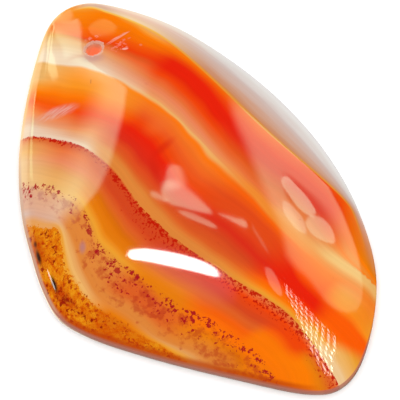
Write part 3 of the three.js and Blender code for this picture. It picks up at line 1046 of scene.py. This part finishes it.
# %% Left window
hang_panel(
    "left_arch",
    [(28, 100), (26, 92), (24, 84), (22.5, 77), (21.5, 74), (20.8, 71), (18, 68.5), (15.2, 66.4),
     (8.3, 62.5), (4.0, 59.5)],
    [(12, 108), (4, 106), (-4, 102), (-9, 97), (-10, 90), (-9, 80), (-7, 71), (-9.5, 64.5)],
    glow=([0.7, 0.7, 0.7, 0.9, 1.6, 2.8, 3.3, 3.4, 3.4, 3.4], [0.9, 1.2, 1.8, 2.4]),
    soft_sides=(0.1, 0.2), soft_ends=(0.1, 0.05),
)
hang_panel(
    "left_window",
    [(4.0, 59.5), (7.6, 54.3), (10.8, 50.3), (16.5, 43), (13, 40.3), (9, 38.2), (4.3, 36), (0.5, 34.3),
     (-6, 32.6), (-15, 32.3), (-24, 32.8), (-34, 34)],
    [(-9.5, 64.5), (-10, 61), (-8.5, 56), (-6, 52.5), (-9, 51), (-16.5, 51.5), (-23, 51), (-30, 49),
     (-37.5, 47.5), (-46, 46), (-52, 45)],
    glow=(4.0, 2.4), soft_sides=(0.08, 0.7), soft_ends=(0.02, 0.18),
)
print("left window hung")

# %% [markdown]
# A far wall stands round the drilled end. It reaches deep below the horizon, because near the
# outline the rounded rim turns mirror rays so little that they run on down past the stone.

# %% Far wall
horizon = np.radians([35.0, 60.0, 85.0, 110.0, 135.0, 160.0, 185.0])
around = np.stack([np.cos(horizon), np.sin(horizon)], -1)
hang_panel(
    "far_wall",
    93 * around,
    172 * around,
    glow=([1.3, 1.3, 1.3, 1.8, 0.6, 0.1, 0.0], [1.3, 1.3, 1.6, 1.8, 0.8, 0.0]), soft_sides=(0.08, 0.05),
    tint=np.array([1.0, 0.9, 0.65]), distance_mm=4300.0,
)
print("far wall hung")

# %% [markdown]
# The right window is split by a dark post, in front of which three of the small lamps hang. The post
# is a panel that gives no light and lets a fifth of what is behind it through.

# %% Right window
hang_panel(
    "right_window",
    [(63, 43), (74, 43), (77, 39), (78, 34), (78, 28), (76, 22), (73.5, 14), (73.5, 9.5), (72, 5),
     (70.5, 0.5), (68, -4.5), (64.5, -9.5), (61.5, -13.5), (58, -16.5), (53, -18.5)],
    [(54, 41), (47, 35), (41.8, 30), (38.6, 26), (36, 22.5), (34.2, 19.5), (33, 16.5), (32.3, 13.5),
     (31.5, 10), (30.5, 6.5), (29.3, 3.5), (29, 1.5), (31.3, -1.8), (34.5, -4.8), (37.8, -9.9),
     (40, -13), (44.5, -16), (50, -18)],
    glow=([1.2, 2.0, 2.6, 3.0, 3.2, 3.2, 3.2, 3.3, 3.4, 3.4, 3.2, 2.9, 2.5, 2.3, 2.1],
          [1.2, 2.2, 3.0, 3.4, 3.7, 3.9, 3.7, 3.4, 3.1, 3.0, 3.0, 2.7, 2.5, 2.2, 2.1, 2.1, 2.1]),
    soft_sides=(0.03, [0.3, 0.25, 0.2, 0.16, 0.14, 0.12, 0.1, 0.08, 0.08, 0.08]), soft_ends=(0.1, 0.03),
    last_tint=np.array([0.5, 0.85, 0.5]),
)
hang_panel(
    "right_window_post",
    [(52, 19), (46.5, 15.5), (43, 12), (41.5, 8), (40, 4), (39.5, 0.5), (41.5, -3), (45, -7),
     (52, -11)],
    [(54, 19), (57.5, 16), (61.5, 13), (66, 10), (69, 6.5), (70, 3), (69.5, -1), (67, -5), (62, -9)],
    glow=(0.0, 0.0), soft_sides=(0.2, 0.35), soft_ends=(0.2, 0.35), clear=0.2, distance_mm=395.0,
)
print("right window hung")

# %% [markdown]
# Small lamps and their shades give the petals on the right, the slanted wedge in the middle with
# its slivers, a small oval and a fold. They hang nearer than the windows, so that they are in front.
# A table holds what differs from lamp to lamp.

# %% Small lamps
LAMP_DISTANCE_MM = 390.0
SMALL_LAMPS = [
    ("petal_far",
     [(48.5, 16.5), (52.5, 16.5), (55, 13.5), (57, 10.5), (57.5, 8.5), (57, 6.5)],
     [(48, 16.5), (46, 14), (46.5, 11.5), (47.5, 9), (50, 7), (54, 5.5)],
     (5.4, 5.4), {}),
    ("petal_left",
     [(42, 11.5), (45, 10.5), (47, 8), (47.5, 6), (45.5, 2.5)],
     [(41.5, 11.5), (39, 9), (39, 6.5), (40.5, 3.5), (44.5, 1.5)],
     (3.2, 3.2), {"tint": np.array([0.5, 0.9, 0.8])}),
    ("petal_right",
     [(49.5, 6.5), (57.5, 6), (61, 4), (61, 1), (58.5, -2)],
     [(47.5, 5.5), (46.2, 3.0), (48, 0.2), (52.5, -1.7), (57, -2.6)],
     (4.6, 4.6), {}),
    ("small_oval",
     [(20, 0.5), (22.5, -0.5), (23, -3), (21.5, -6.5), (19, -9)],
     [(19.5, 0), (17.5, -2.5), (16, -5.5), (16.5, -7.5), (18, -9)],
     (2.6, 2.6), {}),
    ("wedge_top",
     [(13, 24.5), (15, 23.5), (14.5, 22), (14, 21), (13.5, 20.5)],
     [(12, 24.5), (10.5, 24), (9, 23), (7.5, 22.5), (7, 21.5)],
     (4.4, 4.4), {"soft_sides": (0.3, 0.3), "soft_ends": (0.15, 0.35)}),
    ("wedge_body",
     [(8.5, 23.5), (11.5, 22.9), (13.2, 21.7), (14, 19.9), (14.7, 17.7), (15, 15.5)],
     [(7, 22.5), (7, 21), (7.5, 19), (9, 18), (10.5, 17), (14.5, 15.3)],
     (4.8, 5.4), {"soft_sides": (0.25, 0.15), "soft_ends": (0.15, 0.1), "distance_mm": 392.0}),
    ("wedge_tip",
     [(4.5, 23.5), (6.5, 22.5), (7.5, 21.5), (8.3, 20)],
     [(4, 23), (4, 22.5), (6, 21), (7.5, 19.5)],
     (6.0, 3.0), {"soft_sides": (0.3, 0.3), "soft_ends": (0.2, 0.2)}),
    ("sliver_right",
     [(15.8, 15.5), (18.2, 13.8), (20, 12.6), (21.8, 11.5), (22.3, 10)],
     [(15.6, 15.3), (17, 14), (18.5, 12.5), (20, 11), (21.5, 9.8)],
     (5.2, 5.2), {}),
    ("sliver_left",
     [(8, 18), (10, 17), (11, 15.6), (12.3, 14.2), (13, 13)],
     [(7.5, 17.5), (8, 16), (9, 14.6), (10.2, 13.2), (12, 12.5)],
     (3.6, 4.4), {"soft_sides": (0.2, 0.2)}),
    ("fold",
     [(24, 10), (24, 8.5), (25, 5), (25.5, 2)],
     [(23.5, 10.5), (23, 8.5), (23.5, 5.5), (24.5, 2)],
     (1.6, 1.6), {"soft_sides": (0.4, 0.4), "soft_ends": (0.3, 0.3)}),
]
for name, one_side, other_side, glow, settings in SMALL_LAMPS:
    hang_panel(name, one_side, other_side, glow, **{"distance_mm": LAMP_DISTANCE_MM, **settings})
print("small lamps", len(SMALL_LAMPS))

# %% [markdown]
# The last lamps are mirrored near the outline: a disc over the hole, a glint on the left rim, and a
# strip and two patches along the left side. They hang as far out as the windows.

# %% Lamps near the edge
EDGE_LAMPS = [
    ("disc_over_hole",
     [(19.5, 65), (22, 68), (31, 69.3), (38, 68.8), (42, 66)],
     [(19.5, 64.5), (23, 61.5), (29, 60.3), (36, 60.8), (42, 64)],
     (1.3, 1.3), {"soft_sides": (0.15, 0.3), "tint": np.array([0.5, 1.0, 0.4])}),
    ("edge_glint",
     [(-64.3, 44), (-64.0, 40.5), (-64.8, 37), (-66.2, 35)],
     [(-67, 46.5), (-68, 43), (-68.5, 38.7), (-68.3, 36)],
     (9.0, 9.0), {"tint": LAMP_TINT}),
    ("side_strip",
     [(-33, 91), (-35.5, 83), (-33, 70), (-35.5, 63), (-37.5, 57), (-41.5, 54)],
     [(-36, 96), (-38.5, 90), (-42, 84.5), (-46, 78), (-50, 73), (-54, 70.5)],
     ([3.6, 3.4, 3.0, 2.6, 2.2], [3.6, 3.4, 3.0, 2.6, 2.2]), {"soft_sides": (0.3, 0.3),
      "tint": np.array([0.6, 1.0, 0.5])}),
    ("side_patch_near",
     [(-1.3, 86), (-6.8, 84.5), (-11.5, 82), (-11.5, 70.2), (-12.5, 66), (-13.2, 62.7)],
     [(-6.3, 87), (-12, 86), (-15.3, 81), (-15.8, 77), (-16.5, 70), (-15.3, 64)],
     (3.4, 3.4), {"tint": np.array([0.8, 1.0, 0.6])}),
    ("side_patch_far",
     [(-11.5, 88.5), (-15.7, 86), (-17.5, 80), (-18, 74), (-17.5, 69)],
     [(-17.3, 90), (-21, 91), (-21.6, 86), (-21, 80), (-18.5, 70)],
     (3.0, 3.0), {"tint": np.array([0.8, 1.0, 0.6])}),
]
for name, one_side, other_side, glow, settings in EDGE_LAMPS:
    hang_panel(name, one_side, other_side, glow, **settings)
print("lamps near the edge", len(EDGE_LAMPS))

# %% [markdown]
# A lamp made of rows of small diodes hangs behind the broad end. It is mirrored as a fan of short
# dashes, fewer and coarser here than the real ones, which are too fine to show. They are one mesh:
# a quad for each dash, worked out from its row and column.

# %% Diode lamp
DASHES_IN_COLUMN = np.array([3, 4, 5, 6, 7, 8, 9, 9, 9, 8])
DASH_SHARE = np.array([0.32, 0.54])
DASH_LEAN = 0.3
DASH_GLOW = [20.0, 20.0, 18.0, 1.0]
DIODE_DISTANCE_MM = 3800.0
COLUMN_CURVES = [
    [(25.0, -3.9), (21.3, -7.6), (16.7, -11.6), (9.9, -16.0)],
    [(29.4, -12.7), (24.0, -16.7), (17.8, -21.0), (9.7, -25.6)],
    [(36.8, -21.8), (31.4, -26.0), (23.1, -29.9), (7.2, -46.7)],
]


def in_grid(across, down):
    """Lean angles at a share across and down the lamp: smooth curves down its first, middle and
    last column, and a parabola through the three across."""
    first, middle, last = (curve_through(curve, down) for curve in COLUMN_CURVES)
    t = across[..., None]
    return (1 - t) * (1 - 2 * t) * first + 4 * t * (1 - t) * middle + t * (2 * t - 1) * last


last_row, last_column = DASHES_IN_COLUMN.max() - 1, len(DASHES_IN_COLUMN) - 1
column = np.repeat(np.arange(len(DASHES_IN_COLUMN)), DASHES_IN_COLUMN)
row = np.concatenate([np.arange(count) for count in DASHES_IN_COLUMN])
corner = np.array([[0, 0], [1, 0], [1, 1], [0, 1]]) - 0.5
dash_down = (row[:, None] + corner[:, 1] * DASH_SHARE[1]) / last_row
dash_across = (column[:, None] + corner[:, 0] * DASH_SHARE[0] + corner[:, 1] * DASH_LEAN) / last_column
dashes = on_dome(in_grid(dash_across, dash_down), DIODE_DISTANCE_MM)
point_count = dashes.size // 3
dash_glow = np.broadcast_to(DASH_GLOW, (point_count, 4))
dash_quads = np.arange(point_count).reshape(-1, 4)
add_panel_object("diodes", dash_quads, dashes, dash_glow, np.zeros(point_count))
print("dashes", len(row))
